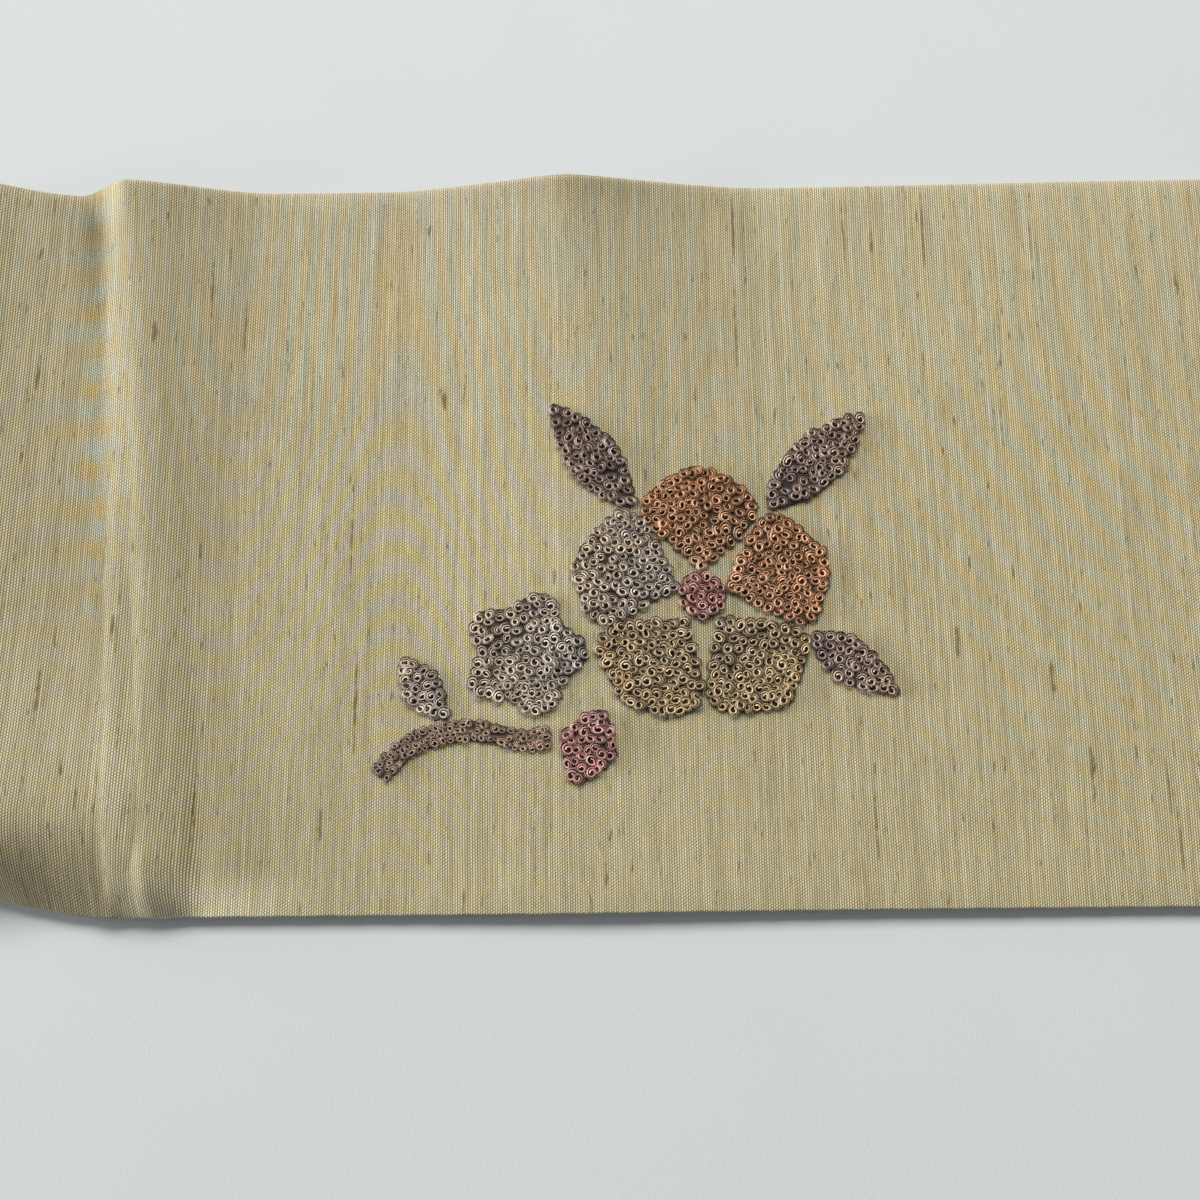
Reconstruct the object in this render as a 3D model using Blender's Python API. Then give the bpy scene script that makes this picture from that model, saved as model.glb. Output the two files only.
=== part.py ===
"""A narrow-waisted obi sash laid out straight and face up on a flat surface.

The sash is one length of slubby silk. Its wide end, the drum, has a lining of its own. A shoulder
folds it to half its width, and from there to the other end it is a flat sleeve, folded along its top
edge and closed by a seam along its bottom edge. A spray of ring-knot embroidery lies on the front.

The long side runs along X, from the drum's end at -X to the narrow end at +X. The narrow part's
folded edge lies on Y = 0 and its seamed edge towards -Y. The underside rests on Z = 0. Metres.
"""

import math
from collections import namedtuple

import bmesh
import bpy

# ---------------------------------------------------------------- driving dimensions

HALF_WIDTH = 0.155  # narrow part, folded edge to seamed edge
TARE_END_X = -1.800  # free end of the wide part
TARE_CREASE_X = -1.250  # storage crease across the drum
SHOULDER_X = -0.700  # here the wide part starts to fold to half its width
NARROW_X = -0.545  # here it has its half width
WAIST_END_X = -0.085
FRONT_END_X = 0.307
TE_CREASE_1_X = 0.807
TE_CREASE_2_X = 1.307
TE_END_X = 1.800  # free end of the narrow part

WALL = 0.0010  # one layer of silk with the turnings and interlining pressed into it
LAYER_GAP = 0.0003  # air between the two layers
PIECE_GAP = 0.0003  # air between two neighbouring pieces
THICKNESS = 2 * WALL + LAYER_GAP

EMBROIDERY_LIFT = 0.00045  # underside of the knots above the silk
EMBROIDERY_HEIGHT = 0.0011  # a layer of ring knots
SPRAY_X = 0.100  # centre of the embroidered front

BASE_SPACING = 0.085  # sections on a flat stretch are at most this far apart

# ---------------------------------------------------------------- folds

# Each fold is a crest that crosses the sash. x_top and x_bottom are where it meets the folded edge
# and the seamed edge, high_top and high_bottom its height there. fade is over 1 where the height
# changes mostly near the seam, and it has changed in full where the roll starts. The four reaches
# are how far it spreads to the left and to the right, at either edge. crest is 0 for a round back,
# 1 for a sharp one and -1 for a flat one. roll is the width over which it rolls down to the seam.
Fold = namedtuple(
    "Fold",
    "x_top x_bottom high_top high_bottom fade left_top left_bottom right_top right_bottom crest roll",
)
FOLDS = (
    Fold(-1.525, -1.515, 0.0030, 0.0026, 1.0, 0.030, 0.030, 0.034, 0.034, 0.3, 0.0),
    Fold(-0.985, -0.972, 0.0036, 0.0022, 1.0, 0.032, 0.032, 0.026, 0.026, 0.5, 0.0),
    Fold(-0.372, -0.360, 0.0042, 0.0012, 0.9, 0.024, 0.024, 0.030, 0.030, 0.5, 0.0),
    Fold(-0.045, -0.036, 0.0105, 0.0088, 1.0, 0.031, 0.031, 0.033, 0.040, 0.0, 0.0205),
    Fold(-0.015, -0.015, 0.0000, 0.0072, 2.4, 0.060, 0.060, 0.0130, 0.0240, -0.9, 0.0205),
    Fold(-0.0050, 0.0034, 0.0003, 0.0008, 0.30, 0.0070, 0.0045, 0.0048, 0.0034, 0.6, 0.0),
    Fold(-0.0012, 0.0116, 0.0066, 0.0006, 0.60, 0.0118, 0.0060, 0.028, 0.0075, 0.9, 0.0),
    Fold(0.0000, 0.0122, 0.0000, 0.0056, 2.4, 0.0080, 0.0084, 0.0085, 0.0088, -0.5, 0.0095),
    Fold(0.0936, 0.1010, 0.0070, 0.0006, 0.35, 0.036, 0.040, 0.040, 0.055, 1.0, 0.0),
    Fold(0.556, 0.549, 0.0046, 0.0010, 0.9, 0.022, 0.022, 0.028, 0.028, 0.5, 0.0),
    Fold(1.052, 1.066, 0.0038, 0.0016, 1.0, 0.028, 0.028, 0.022, 0.022, 0.3, 0.0),
    Fold(1.548, 1.540, 0.0044, 0.0008, 0.8, 0.024, 0.024, 0.026, 0.026, 0.6, 0.0),
)

# Where the sections over a fold lie, as fractions of its reach, and how close two may come.
FOLD_STEPS = (-1.0, -0.72, -0.42, -0.18, 0.0, 0.18, 0.42, 0.72, 1.0)
LEAST_SPACING = 0.0012

# Beside the highest fold the seamed edge is drawn in towards the folded edge.
PULL_X, PULL_LEFT, PULL_RIGHT = -0.040, 0.040, 0.046
PULL_DEPTH = 0.0065


def between(first, last, share):
    return first + (last - first) * share


def fold_height(fold, x, across):
    """The height of one fold at x: across is 0 at the folded edge and 1 at the seam."""
    inside = min(max(across, 0.0), 1.0)
    offset = x - between(fold.x_top, fold.x_bottom, across)
    if offset < 0:
        reach = between(fold.left_top, fold.left_bottom, inside)
    else:
        reach = between(fold.right_top, fold.right_bottom, inside)
    away = abs(offset) / reach
    if away >= 1:
        return 0.0
    rounded = 0.5 + 0.5 * math.cos(math.pi * away)
    sharp = (1 - away) ** 1.5 * (1 + 0.5 * away)
    flat = 1 - away**7
    risen = min(inside / (1 - fold.roll / HALF_WIDTH), 1.0)
    high = between(fold.high_top, fold.high_bottom, risen**fold.fade)
    if fold.roll:
        to_seam = min(HALF_WIDTH * (1 - inside) / fold.roll, 1.0)
        high *= math.sin(to_seam * math.pi / 2)
    return high * between(rounded, sharp if fold.crest > 0 else flat, abs(fold.crest))


def raise_of(x, y):
    """How far the folds lift the underside above the surface it lies on."""
    across = -y / HALF_WIDTH
    return sum(fold_height(fold, x, across) for fold in FOLDS)


def pull_of(x, share):
    """How far a point is drawn in, at a share of the width from the top edge."""
    away = abs(x - PULL_X) / (PULL_LEFT if x < PULL_X else PULL_RIGHT)
    return PULL_DEPTH * (0.5 + 0.5 * math.cos(math.pi * min(away, 1.0))) * share**8


# ---------------------------------------------------------------- sections across the sash

# A section is a ribbon: a list of pairs, each the outer and the inner side of the wall. A side is
# (distance from the top edge, height above the underside).
LIP = ((0.0, 0.55), (0.35, 0.12), (1.1, 0.0))  # (back from the edge, down from the face), in walls
FOLD_TURN = 4  # steps round the folded edge


def lip(width):
    """The rounded edge of a face layer at the far side of the sash, seam side first."""
    ribbon = []
    for back, down in LIP:
        outer = (width - back * WALL, THICKNESS - down * WALL)
        inner = (width - max(back, 0.1) * WALL, WALL + LAYER_GAP)
        ribbon.append((outer, inner))
    return ribbon


def layer(width, shares):
    """The flat of a face layer, at the given shares of its width."""
    return [((share * width, THICKNESS), (share * width, WALL + LAYER_GAP)) for share in shares]


def mirrored_height(ribbon):
    """The same ribbon as a lining: turned over about the plane between the layers."""
    return [((a, THICKNESS - b), (c, THICKNESS - d)) for (a, b), (c, d) in reversed(ribbon)]


def folded_edge():
    middle = THICKNESS / 2
    ribbon = []
    for step in range(FOLD_TURN + 1):
        angle = math.pi / 2 + math.pi * step / FOLD_TURN
        sides = []
        for radius in (middle, LAYER_GAP / 2):
            sides.append((middle + radius * math.cos(angle), middle + radius * math.sin(angle)))
        ribbon.append(tuple(sides))
    return ribbon


def sleeve_section(width, shares):
    """Both layers of the folded part, joined round the folded edge and open along the seam."""
    face = lip(width) + layer(width, reversed(shares))
    return face + folded_edge() + mirrored_height(face)


def face_section(width, shares):
    """The face of the wide part, with a rounded lip on both edges."""
    far = lip(width)
    near = [((width - a, b), (width - c, d)) for (a, b), (c, d) in reversed(lip(width))]
    return far + layer(width, reversed(shares)) + near


def lining_section(width, shares):
    return mirrored_height(face_section(width, shares))


# Where the flat of each layer has its points, as shares of the width from the top edge.
FRONT_SHARES = (0.08, 0.22, 0.38, 0.55, 0.72, 0.86, 0.94)
PLAIN_SHARES = (0.12, 0.50, 0.88)
WIDE_SHARES = (0.07, 0.28, 0.50, 0.72, 0.93)


# ---------------------------------------------------------------- the sash's outline


def top_edge_y(x):
    """The top edge: level along the drum, slanting over the shoulder, and on Y = 0 from there."""
    slant = (NARROW_X - x) / (NARROW_X - SHOULDER_X)
    return HALF_WIDTH * min(max(slant, 0.0), 1.0)


def stations(start, end):
    """Pairs of X, at the top and the bottom edge, for the sections of one stretch.

    They lean as the crests do, and evenly from one crest's lean to the next one's.
    """
    crests = [fold for fold in FOLDS if start < fold.x_top < end]
    leans = [(start, start), *((fold.x_top, fold.x_bottom) for fold in crests), (end, end)]
    tops = []
    for fold in crests:
        tops += [fold.x_top + step * (fold.left_top if step < 0 else fold.right_top) for step in FOLD_STEPS]
    steps = max(2, math.ceil((end - start) / BASE_SPACING))
    for index in range(1, steps):
        middle = between(start, end, index / steps)
        if all(middle < f.x_top - 1.3 * f.left_top or middle > f.x_top + 1.3 * f.right_top for f in FOLDS):
            tops.append(middle)
    pairs = [(start, start)]
    for top in sorted(tops):
        if top - pairs[-1][0] < LEAST_SPACING or end - top < LEAST_SPACING:
            continue
        for (top_a, bottom_a), (top_b, bottom_b) in zip(leans, leans[1:]):
            if top_a <= top < top_b:
                pairs.append((top, between(bottom_a, bottom_b, (top - top_a) / (top_b - top_a))))
    return [*pairs, (end, end)]


# ---------------------------------------------------------------- making the solids

SILK = (0.42, 0.37, 0.23)
SILK_ROUGHNESS, THREAD_ROUGHNESS = 0.62, 0.55


def make_material(name, colour, roughness):
    material = bpy.data.materials.new(name)
    material.use_nodes = True
    shader = material.node_tree.nodes["Principled BSDF"]
    shader.inputs["Base Color"].default_value = (*colour, 1.0)
    shader.inputs["Roughness"].default_value = roughness
    shader.inputs["Metallic"].default_value = 0.0
    return material


def add_object(name, bm, colour, roughness):
    bmesh.ops.recalc_face_normals(bm, faces=bm.faces)
    mesh = bpy.data.meshes.new(name)
    bm.to_mesh(mesh)
    bm.free()
    mesh.materials.append(make_material(name + "_finish", colour, roughness))
    mesh.shade_smooth()
    mesh.set_sharp_from_angle(angle=math.radians(40))
    made = bpy.data.objects.new(name, mesh)
    bpy.context.scene.collection.objects.link(made)
    return made


def verts_of(geometry):
    return [item for item in geometry if isinstance(item, bmesh.types.BMVert)]


def add_stretch(name, start, end, section, shares, colour):
    """Sweeps a section along X from one end of a stretch to the other, over the folds."""
    bm = bmesh.new()
    place = bm.verts.layers.int.new("place")

    def set_positions(verts, pair):
        for vert in verts:
            index, side = divmod(vert[place], 2)
            middle = (pair[0] + pair[1]) / 2
            top_y = top_edge_y(middle)
            width = top_y + HALF_WIDTH
            distance, height = section(width, shares)[index][side]
            y = top_y - distance
            x = pair[0] - (pair[1] - pair[0]) * y / HALF_WIDTH
            vert.co = (x, y + pull_of(x, distance / width), height + raise_of(x, y))

    pairs = stations(start + PIECE_GAP / 2, end - PIECE_GAP / 2)
    count = len(section(HALF_WIDTH, shares))
    rows = []
    for index in range(count):
        row = [bm.verts.new() for _side in range(2)]
        for side, vert in enumerate(row):
            vert[place] = 2 * index + side
        rows.append(row)
    for here, after in zip(rows, rows[1:]):
        bm.faces.new((here[0], here[1], after[1], after[0]))
    set_positions(bm.verts, pairs[0])
    end_cap = [*bm.verts, *bm.edges, *bm.faces]
    for pair in pairs[1:]:
        end_cap = bmesh.ops.extrude_face_region(bm, geom=end_cap)["geom"]
        set_positions(verts_of(end_cap), pair)
    return add_object(name, bm, colour, SILK_ROUGHNESS)


# ---------------------------------------------------------------- embroidery

# Places are (along X from the spray's centre, down from the folded edge), in millimetres.
# A petal or leaf runs from its base in the direction of turn (degrees from +X, towards the folded
# edge), with its greatest width at the share given by belly.
Leaf = namedtuple("Leaf", "name along down turn length width belly colour")

SALMON = (0.42, 0.20, 0.11)
OLIVE = (0.40, 0.33, 0.16)
IVORY = (0.44, 0.39, 0.32)
TAUPE = (0.17, 0.12, 0.10)
ROSE = (0.36, 0.14, 0.13)
BROWN = (0.11, 0.07, 0.05)

BLOSSOM_ALONG, BLOSSOM_DOWN = 21.0, 92.0
BLOSSOM_HEART = 4.6
PETAL_START, PETAL_LENGTH, PETAL_WIDTH, PETAL_BELLY = 5.6, 21.4, 24.0, 0.60
PETAL_COLOURS = (SALMON, IVORY, OLIVE, OLIVE, SALMON)
FIRST_PETAL_TURN = 90.0

PLUM_ALONG, PLUM_DOWN = -15.5, 103.5
PLUM_RADIUS, PLUM_DENT = 12.8, 0.24

LEAVES = (
    Leaf("leaf_right", 35.6, 72.8, 44.0, 28.5, 11.0, 0.46, TAUPE),
    Leaf("leaf_left", 6.7, 73.0, 127.0, 27.5, 10.4, 0.46, TAUPE),
    Leaf("leaf_low", 43.6, 100.2, -37.0, 20.0, 8.8, 0.44, TAUPE),
    Leaf("leaf_small", -31.4, 116.2, 128.0, 15.0, 7.4, 0.50, IVORY),
    Leaf("bud", 0.2, 115.4, -112.0, 15.5, 10.6, 0.48, ROSE),
)

TWIG_ROUTE = (
    (-44.5, 127.5),
    (-39.0, 121.8),
    (-32.6, 119.6),
    (-26.4, 118.9),
    (-21.0, 119.8),
    (-15.8, 121.4),
    (-10.6, 120.6),
)
TWIG_WIDTH = 3.9


def on_silk(along, down):
    """The point of the silk's face at a place of the spray."""
    x = SPRAY_X + along / 1000
    y = -down / 1000
    return x, y, THICKNESS + raise_of(x, y)


def add_pad(name, columns, rows, place_of, colour, closed=False):
    """A patch of embroidery: a grid laid on the silk by place_of(column share, row share)."""
    bm = bmesh.new()
    bmesh.ops.create_grid(bm, x_segments=columns, y_segments=rows, size=0.5)
    for vert in bm.verts:
        x, y, z = on_silk(*place_of(vert.co.x + 0.5, vert.co.y + 0.5))
        vert.co = (x, y, z + EMBROIDERY_LIFT)
    if closed:
        bmesh.ops.remove_doubles(bm, verts=bm.verts, dist=0.00005)
    top = bmesh.ops.extrude_face_region(bm, geom=list(bm.faces))["geom"]
    bmesh.ops.translate(bm, verts=verts_of(top), vec=(0, 0, EMBROIDERY_HEIGHT))
    return add_object(name, bm, colour, THREAD_ROUGHNESS)


def leaf_place(leaf):
    turn = math.radians(leaf.turn)
    skew = math.log(0.5) / math.log(leaf.belly)

    def place(length_share, width_share):
        end_share = 0.04 + 0.92 * length_share
        half = leaf.width / 2 * math.sin(math.pi * end_share**skew)
        forward = leaf.length * length_share
        side = half * (2 * width_share - 1)
        along = leaf.along + forward * math.cos(turn) - side * math.sin(turn)
        down = leaf.down - forward * math.sin(turn) - side * math.cos(turn)
        return along, down

    return place


def disc_place(along, down, radius_at):
    def place(turn_share, out_share):
        turn = 2 * math.pi * turn_share
        radius = radius_at(turn) * (0.02 + 0.98 * out_share if out_share else 0.0)
        return along + radius * math.cos(turn), down - radius * math.sin(turn)

    return place


def twig_place(length_share, width_share):
    """A point of the twig, beside the curve through its route."""
    reach = length_share * (len(TWIG_ROUTE) - 1)
    first = min(int(reach), len(TWIG_ROUTE) - 2)
    (ax, ay), (bx, by) = TWIG_ROUTE[first], TWIG_ROUTE[first + 1]
    part = reach - first
    length = math.hypot(bx - ax, by - ay)
    side = TWIG_WIDTH * (width_share - 0.5)
    along = between(ax, bx, part) - side * (by - ay) / length
    down = between(ay, by, part) + side * (bx - ax) / length
    return along, down


def add_embroidery():
    for index, colour in enumerate(PETAL_COLOURS):
        turn = FIRST_PETAL_TURN + 72 * index
        along = BLOSSOM_ALONG + PETAL_START * math.cos(math.radians(turn))
        down = BLOSSOM_DOWN - PETAL_START * math.sin(math.radians(turn))
        name = f"petal_{index + 1}"
        petal = Leaf(name, along, down, turn, PETAL_LENGTH, PETAL_WIDTH, PETAL_BELLY, colour)
        add_pad(name, 5, 3, leaf_place(petal), colour)
    for leaf in LEAVES:
        add_pad(leaf.name, 5, 2, leaf_place(leaf), leaf.colour)
    heart = disc_place(BLOSSOM_ALONG, BLOSSOM_DOWN, lambda turn: BLOSSOM_HEART)
    add_pad("blossom_heart", 12, 1, heart, ROSE, closed=True)

    def plum_radius(turn):
        return PLUM_RADIUS * (1 - PLUM_DENT * (0.5 - 0.5 * math.cos(5 * turn)))

    plum = disc_place(PLUM_ALONG, PLUM_DOWN, plum_radius)
    add_pad("plum_blossom", 20, 2, plum, IVORY, closed=True)
    add_pad("twig", 2 * (len(TWIG_ROUTE) - 1), 1, twig_place, BROWN)


# ---------------------------------------------------------------- the whole sash

LINING_SILK = (0.40, 0.36, 0.24)

# Stretches between creases: name, start, end, section, shares, colour.
Stretch = namedtuple("Stretch", "name start end section shares colour")
STRETCHES = (
    Stretch("tare_face", TARE_END_X, TARE_CREASE_X, face_section, WIDE_SHARES, SILK),
    Stretch("tare_lining", TARE_END_X, TARE_CREASE_X, lining_section, WIDE_SHARES, LINING_SILK),
    Stretch("drum_face", TARE_CREASE_X, SHOULDER_X, face_section, WIDE_SHARES, SILK),
    Stretch("drum_lining", TARE_CREASE_X, SHOULDER_X, lining_section, WIDE_SHARES, LINING_SILK),
    Stretch("shoulder", SHOULDER_X, NARROW_X, sleeve_section, PLAIN_SHARES, SILK),
    Stretch("waist", NARROW_X, WAIST_END_X, sleeve_section, PLAIN_SHARES, SILK),
    Stretch("front", WAIST_END_X, FRONT_END_X, sleeve_section, FRONT_SHARES, SILK),
    Stretch("te_1", FRONT_END_X, TE_CREASE_1_X, sleeve_section, PLAIN_SHARES, SILK),
    Stretch("te_2", TE_CREASE_1_X, TE_CREASE_2_X, sleeve_section, PLAIN_SHARES, SILK),
    Stretch("te_3", TE_CREASE_2_X, TE_END_X, sleeve_section, PLAIN_SHARES, SILK),
)


def main():
    for old in list(bpy.data.objects):
        bpy.data.objects.remove(old)
    for stretch in STRETCHES:
        add_stretch(*stretch)
    add_embroidery()


main()
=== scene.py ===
"""An obi sash of slubby silk, laid out flat and face up, with a ring-knot spray on its front.

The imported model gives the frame: the sash runs along X, its narrow part's folded edge is on Y = 0,
its seamed edge towards -Y, and its underside on Z = 0. Everything here is in metres.
"""

import math
from collections import namedtuple

import bmesh
import bpy
import numpy as np
from mathutils import Matrix, Vector, noise


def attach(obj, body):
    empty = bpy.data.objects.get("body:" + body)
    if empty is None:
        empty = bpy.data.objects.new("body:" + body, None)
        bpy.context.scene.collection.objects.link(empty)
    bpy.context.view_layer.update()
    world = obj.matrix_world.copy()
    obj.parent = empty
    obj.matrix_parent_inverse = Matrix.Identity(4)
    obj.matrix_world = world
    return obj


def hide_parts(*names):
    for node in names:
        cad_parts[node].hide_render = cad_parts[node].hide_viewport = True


bl_info = {
    "name": "Embroidered Obi Sash",
    "version": (1, 0, 0),
    "blender": (4, 5, 0),
    "location": "View3D > Sidebar > Obi",
    "description": "Builds a slubby silk obi sash with a ring-knot embroidered spray, laid out flat",
    "category": "Add Mesh",
}

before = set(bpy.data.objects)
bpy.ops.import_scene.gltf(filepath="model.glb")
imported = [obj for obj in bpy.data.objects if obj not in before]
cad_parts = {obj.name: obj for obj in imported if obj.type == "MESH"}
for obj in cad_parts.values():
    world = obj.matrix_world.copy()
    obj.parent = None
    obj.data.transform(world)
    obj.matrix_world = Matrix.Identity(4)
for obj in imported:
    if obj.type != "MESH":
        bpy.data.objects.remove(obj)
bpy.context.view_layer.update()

# ---------------------------------------------------------------- the sash's own sizes

HALF_WIDTH = 0.155  # of the cloth: the wide part is twice this, and the narrow part is folded to it
TARE_END_X, TARE_CREASE_X, SHOULDER_X, NARROW_X = -1.800, -1.250, -0.700, -0.545
WAIST_END_X, FRONT_END_X, TE_CREASE_1_X, TE_CREASE_2_X, TE_END_X = -0.085, 0.307, 0.807, 1.307, 1.800
WALL = 0.0010  # a layer of silk with its stiffening
LAYER_GAP = 0.0003
THICKNESS = 2 * WALL + LAYER_GAP
SPRAY_X = 0.100  # the spray's centre

# Each fold is a crest that crosses the sash. x_top and x_bottom are where it meets the folded edge
# and the seamed edge, high_top and high_bottom its height there. fade is over 1 where the height
# changes mostly near the seam, and it has changed in full where the roll starts. The four reaches
# are how far it spreads to the left and to the right, at either edge. crest is 0 for a round back,
# 1 for a sharp one and -1 for a flat one. roll is the width over which it rolls down to the seam.
Fold = namedtuple(
    "Fold",
    "x_top x_bottom high_top high_bottom fade left_top left_bottom right_top right_bottom crest roll",
)
FOLDS = (
    Fold(-1.525, -1.515, 0.0030, 0.0026, 1.0, 0.030, 0.030, 0.034, 0.034, 0.3, 0.0),
    Fold(-0.985, -0.972, 0.0036, 0.0022, 1.0, 0.032, 0.032, 0.026, 0.026, 0.5, 0.0),
    Fold(-0.372, -0.360, 0.0042, 0.0012, 0.9, 0.024, 0.024, 0.030, 0.030, 0.5, 0.0),
    Fold(-0.045, -0.036, 0.0105, 0.0088, 1.0, 0.031, 0.031, 0.033, 0.040, 0.0, 0.0205),
    Fold(-0.015, -0.015, 0.0000, 0.0072, 2.4, 0.060, 0.060, 0.0130, 0.0240, -0.9, 0.0205),
    Fold(-0.0050, 0.0034, 0.0003, 0.0008, 0.30, 0.0070, 0.0045, 0.0048, 0.0034, 0.6, 0.0),
    Fold(-0.0012, 0.0116, 0.0066, 0.0006, 0.60, 0.0118, 0.0060, 0.028, 0.0075, 0.9, 0.0),
    Fold(0.0000, 0.0122, 0.0000, 0.0056, 2.4, 0.0080, 0.0084, 0.0085, 0.0088, -0.5, 0.0095),
    Fold(0.0936, 0.1010, 0.0070, 0.0006, 0.35, 0.036, 0.040, 0.040, 0.055, 1.0, 0.0),
    Fold(0.556, 0.549, 0.0046, 0.0010, 0.9, 0.022, 0.022, 0.028, 0.028, 0.5, 0.0),
    Fold(1.052, 1.066, 0.0038, 0.0016, 1.0, 0.028, 0.028, 0.022, 0.022, 0.3, 0.0),
    Fold(1.548, 1.540, 0.0044, 0.0008, 0.8, 0.024, 0.024, 0.026, 0.026, 0.6, 0.0),
)

# Beside the highest fold the seamed edge is drawn in towards the folded edge.
PULL_X, PULL_LEFT, PULL_RIGHT = -0.040, 0.040, 0.046
PULL_DEPTH = 0.0065

RIPPLE_HEIGHT = 0.00035  # slack of the silk between the folds
RIPPLE_LENGTH = 0.045
EDGE_WANDER = 0.0005  # how far the edges stray from a straight line
EDGE_WANDER_LENGTH = 0.110
BOW_START, BOW_END, BOW_DEPTH = 0.030, 0.530, 0.0016  # where the folded edge bows out, and how far
SEAM_PULL, PULLED_SHARE = 0.00012, 0.93  # how far a hidden stitch draws the seam in, and from where
STITCH_PITCH = 0.0092

CREASE_X, CREASE_REACH, CREASE_SHARE = 0.004, 0.019, 0.36  # finer sections along the sharpest crest

CLOTH_MAP = "cloth"  # the cloth's own map, in metres: along the sash, and round its section


# ---------------------------------------------------------------- settings


def length_property(name, description, default):
    return bpy.props.FloatProperty(name=name, description=description, default=default, unit="LENGTH")


def power_property(name, description, default):
    return bpy.props.FloatProperty(name=name, description=description, default=default, unit="POWER")


def angle_property(name, description, default):
    return bpy.props.FloatProperty(name=name, description=description, default=default, subtype="ANGLE")


def colour_property(name, description, default):
    return bpy.props.FloatVectorProperty(
        name=name, description=description, default=default, size=3, min=0, max=1, subtype="COLOR"
    )


class ObiClothSettings(bpy.types.PropertyGroup):
    """How finely the silk is modelled and woven."""

    fine_step: length_property("Fine Step", "Between the sections of the embroidered front", 0.0026)
    plain_step: length_property("Plain Step", "Between the sections of every other stretch", 0.0090)
    weft_pitch: length_property("Weft Pitch", "Between the threads that run across the sash", 0.00048)
    warp_pitch: length_property("Warp Pitch", "Between the threads that run along the sash", 0.000305)


class ObiKnotSettings(bpy.types.PropertyGroup):
    """The ring knots of the embroidery."""

    pitch: length_property("Knot Pitch", "Distance between knots", 0.00207)
    outer_radius: length_property("Outer Radius", "Of a knot's widest turn", 0.00130)
    inner_radius: length_property("Inner Radius", "Of a knot's topmost turn", 0.00050)
    thread_radius: length_property("Thread Radius", "Half the thread's width", 0.00019)
    tilt: angle_property("Tilt", "Greatest lean of a knot", 0.42)
    seed: bpy.props.IntProperty(name="Seed", description="Varies how the knots lie", default=7)


class ObiColours(bpy.types.PropertyGroup):
    """The colours of the silk and of the threads."""

    silk_gap: colour_property("Gaps", "Between the silk's threads", (0.080, 0.062, 0.025))
    silk_gold: colour_property("Gold", "The silk's warmer threads", (0.750, 0.660, 0.388))
    silk_mist: colour_property("Mist", "The silk's cooler threads", (0.735, 0.665, 0.445))
    slub: colour_property("Slub", "The dark fibre in the slubs", (0.165, 0.112, 0.032))
    salmon: colour_property("Salmon", "Thread of two of the petals", (0.590, 0.352, 0.212))
    olive: colour_property("Olive", "Thread of two of the petals", (0.520, 0.418, 0.272))
    ivory: colour_property("Ivory", "Thread of the pale blossom", (0.556, 0.492, 0.420))
    taupe: colour_property("Taupe", "Thread of the leaves", (0.395, 0.306, 0.260))
    rose: colour_property("Rose", "Thread of the bud", (0.530, 0.303, 0.278))
    brown: colour_property("Brown", "Thread of the twig", (0.450, 0.340, 0.260))


class ObiStageSettings(bpy.types.PropertyGroup):
    """The floor, the light and the camera."""

    floor: colour_property("Floor", "The pale surface under the sash", (0.560, 0.588, 0.600))
    key_power: power_property("Key Power", "Power of the long soft light", 188.0)
    side_power: power_property("Side Power", "Power of the low side light", 550.0)
    sky_strength: bpy.props.FloatProperty(
        name="Sky Strength", description="Strength of the light all round", default=0.13
    )
    camera_height: length_property("Camera Height", "Above the floor", 0.2450)
    camera_back: length_property("Camera Back", "From the folded edge, towards the seam", 0.1409)
    camera_tilt: angle_property("Camera Tilt", "From straight down", math.radians(11.3))
    camera_roll: angle_property("Camera Roll", "Turn about the line of sight", math.radians(-0.6))
    camera_lens: bpy.props.FloatProperty(
        name="Camera Lens", description="In mm, on a 36 mm sensor", default=36.06
    )


# ---------------------------------------------------------------- the form of the cloth


def between(first, last, share):
    return first + (last - first) * share


def fold_height(fold, x, across):
    """The height of one fold at x: across is 0 at the folded edge and 1 at the seam."""
    inside = min(max(across, 0.0), 1.0)
    offset = x - between(fold.x_top, fold.x_bottom, across)
    if offset < 0:
        reach = between(fold.left_top, fold.left_bottom, inside)
    else:
        reach = between(fold.right_top, fold.right_bottom, inside)
    away = abs(offset) / reach
    if away >= 1:
        return 0.0
    rounded = 0.5 + 0.5 * math.cos(math.pi * away)
    softened = math.sqrt(away * away + 0.0025) - 0.05
    sharp = (1 - min(softened, 1.0)) ** 1.5 * (1 + 0.5 * away)
    flat = 1 - away**7
    risen = min(inside / (1 - fold.roll / HALF_WIDTH), 1.0)
    high = between(fold.high_top, fold.high_bottom, risen**fold.fade)
    if fold.roll:
        to_seam = min(HALF_WIDTH * (1 - inside) / fold.roll, 1.0)
        high *= math.sin(to_seam * math.pi / 2)
    return high * between(rounded, sharp if fold.crest > 0 else flat, abs(fold.crest))


def ripple(x, y):
    """Soft slack of the silk, never below the surface that it lies on."""
    place = Vector((x / RIPPLE_LENGTH, y / RIPPLE_LENGTH * 0.6, 3.7))
    return RIPPLE_HEIGHT * (0.5 + 0.5 * noise.noise(place))


def raise_of(x, y):
    """How far the silk's underside is lifted off the surface below."""
    across = -y / HALF_WIDTH
    return sum(fold_height(fold, x, across) for fold in FOLDS) + ripple(x, y)


def top_edge_y(x):
    """The top edge: level along the drum, slanting over the shoulder, and on Y = 0 from there."""
    slant = (NARROW_X - x) / (NARROW_X - SHOULDER_X)
    return HALF_WIDTH * min(max(slant, 0.0), 1.0)


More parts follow.
